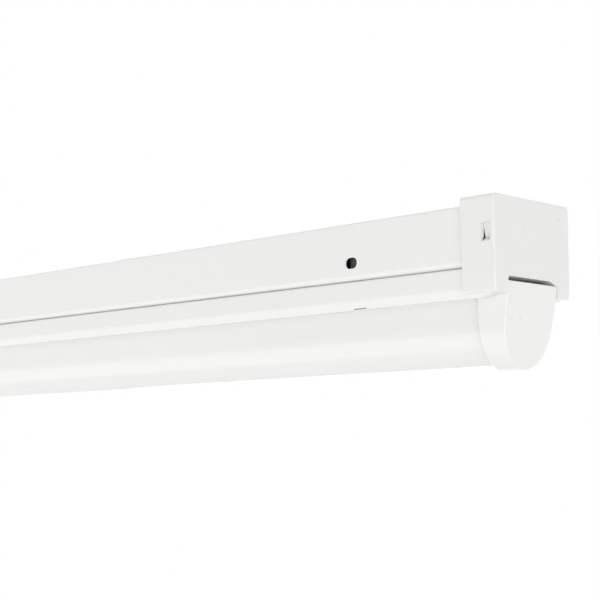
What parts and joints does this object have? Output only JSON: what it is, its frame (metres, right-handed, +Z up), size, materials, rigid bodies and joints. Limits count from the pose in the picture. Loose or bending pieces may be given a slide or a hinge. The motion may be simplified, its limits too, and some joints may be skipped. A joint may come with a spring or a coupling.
{
  "type": "linear led batten light",
  "caption": "Ceiling batten light: white folded steel spine with moulded end caps, drop-down gear tray with light boards and driver, and a pull-off round-bottomed opal diffuser.",
  "frame": {"origin": "middle of the two fixing slots, in the plane of the ceiling that the stand-off pads and end caps touch", "axes": "+X along the batten, +Y across it, +Z up towards the ceiling"},
  "size_m": [1.2, 0.06, 0.0818],
  "materials": {
    "painted_steel": "satin powder coat",
    "tray_steel": "satin powder coat",
    "cap_plastic": "fine moulded satin",
    "shoe_plastic": "fine moulded satin",
    "opal": "opal polycarbonate",
    "grommet_rubber": "matt",
    "spring_steel": "bright rolled",
    "board_white": "white solder mask",
    "led_phosphor": "yellow phosphor",
    "connector_plastic": "moulded",
    "clip_nylon": "natural nylon",
    "driver_plastic": "moulded",
    "circuit_green": "green solder mask",
    "transformer_tape": "yellow tape",
    "capacitor_sleeve": "shrink sleeve",
    "zinc_steel": "zinc plated",
    "terminal_plastic": "moulded",
    "button_live_plastic": "moulded brown",
    "button_neutral_plastic": "moulded blue",
    "button_earth_plastic": "moulded green",
    "wire_brown": "sleeved wire",
    "wire_blue": "sleeved wire",
    "wire_green": "sleeved wire, green and yellow",
    "wire_red": "sleeved wire",
    "wire_black": "sleeved wire",
    "tag_brass": "tinned"
  },
  "bodies": {
    "spine": {"spine": "painted_steel", "end_cap_right": "cap_plastic", "end_cap_left": "cap_plastic", "cable_grommet": "grommet_rubber"},
    "tray": {"gear_tray": "tray_steel", "latch_spring_1": "spring_steel", "latch_spring_2": "spring_steel", "latch_spring_3": "spring_steel", "latch_spring_4": "spring_steel", "led_board_1": "board_white", "led_board_2": "board_white", "led_board_3": "board_white", "led_board_4": "board_white", "led_chips_1": "led_phosphor", "led_chips_2": "led_phosphor", "led_chips_3": "led_phosphor", "led_chips_4": "led_phosphor", "board_links": "connector_plastic", "board_socket": "connector_plastic", "board_clips": "clip_nylon", "driver_base": "driver_plastic", "driver_cover": "driver_plastic", "driver_board": "circuit_green", "driver_transformer": "transformer_tape", "driver_capacitors": "capacitor_sleeve", "driver_screws": "zinc_steel", "terminal_block": "terminal_plastic", "wire_live": "wire_brown", "wire_neutral": "wire_blue", "wire_earth": "wire_green", "wire_led_plus": "wire_red", "wire_led_minus": "wire_black", "earth_tag": "tag_brass", "earth_screw": "zinc_steel"},
    "diffuser": {"diffuser": "opal", "diffuser_cap_right": "shoe_plastic", "diffuser_cap_left": "shoe_plastic"},
    "button_live": {"button_live": "button_live_plastic"},
    "button_neutral": {"button_neutral": "button_neutral_plastic"},
    "button_earth": {"button_earth": "button_earth_plastic"}
  },
  "joints": [
    {"name": "tray_drop", "type": "slide", "parent": "spine", "child": "tray", "axis": [0, 0, -1], "range_m": [0, 0.06]},
    {"name": "diffuser_pull", "type": "slide", "parent": "tray", "child": "diffuser", "axis": [0, 0, -1], "range_m": [0, 0.05]},
    {"name": "button_live_press", "type": "slide", "parent": "tray", "child": "button_live", "axis": [0, 0, -1], "range_m": [0, 0.0015], "stiffness_N_per_m": 800, "springref_m": -0.001},
    {"name": "button_neutral_press", "type": "slide", "parent": "tray", "child": "button_neutral", "axis": [0, 0, -1], "range_m": [0, 0.0015], "stiffness_N_per_m": 800, "springref_m": -0.001},
    {"name": "button_earth_press", "type": "slide", "parent": "tray", "child": "button_earth", "axis": [0, 0, -1], "range_m": [0, 0.0015], "stiffness_N_per_m": 800, "springref_m": -0.001}
  ]
}
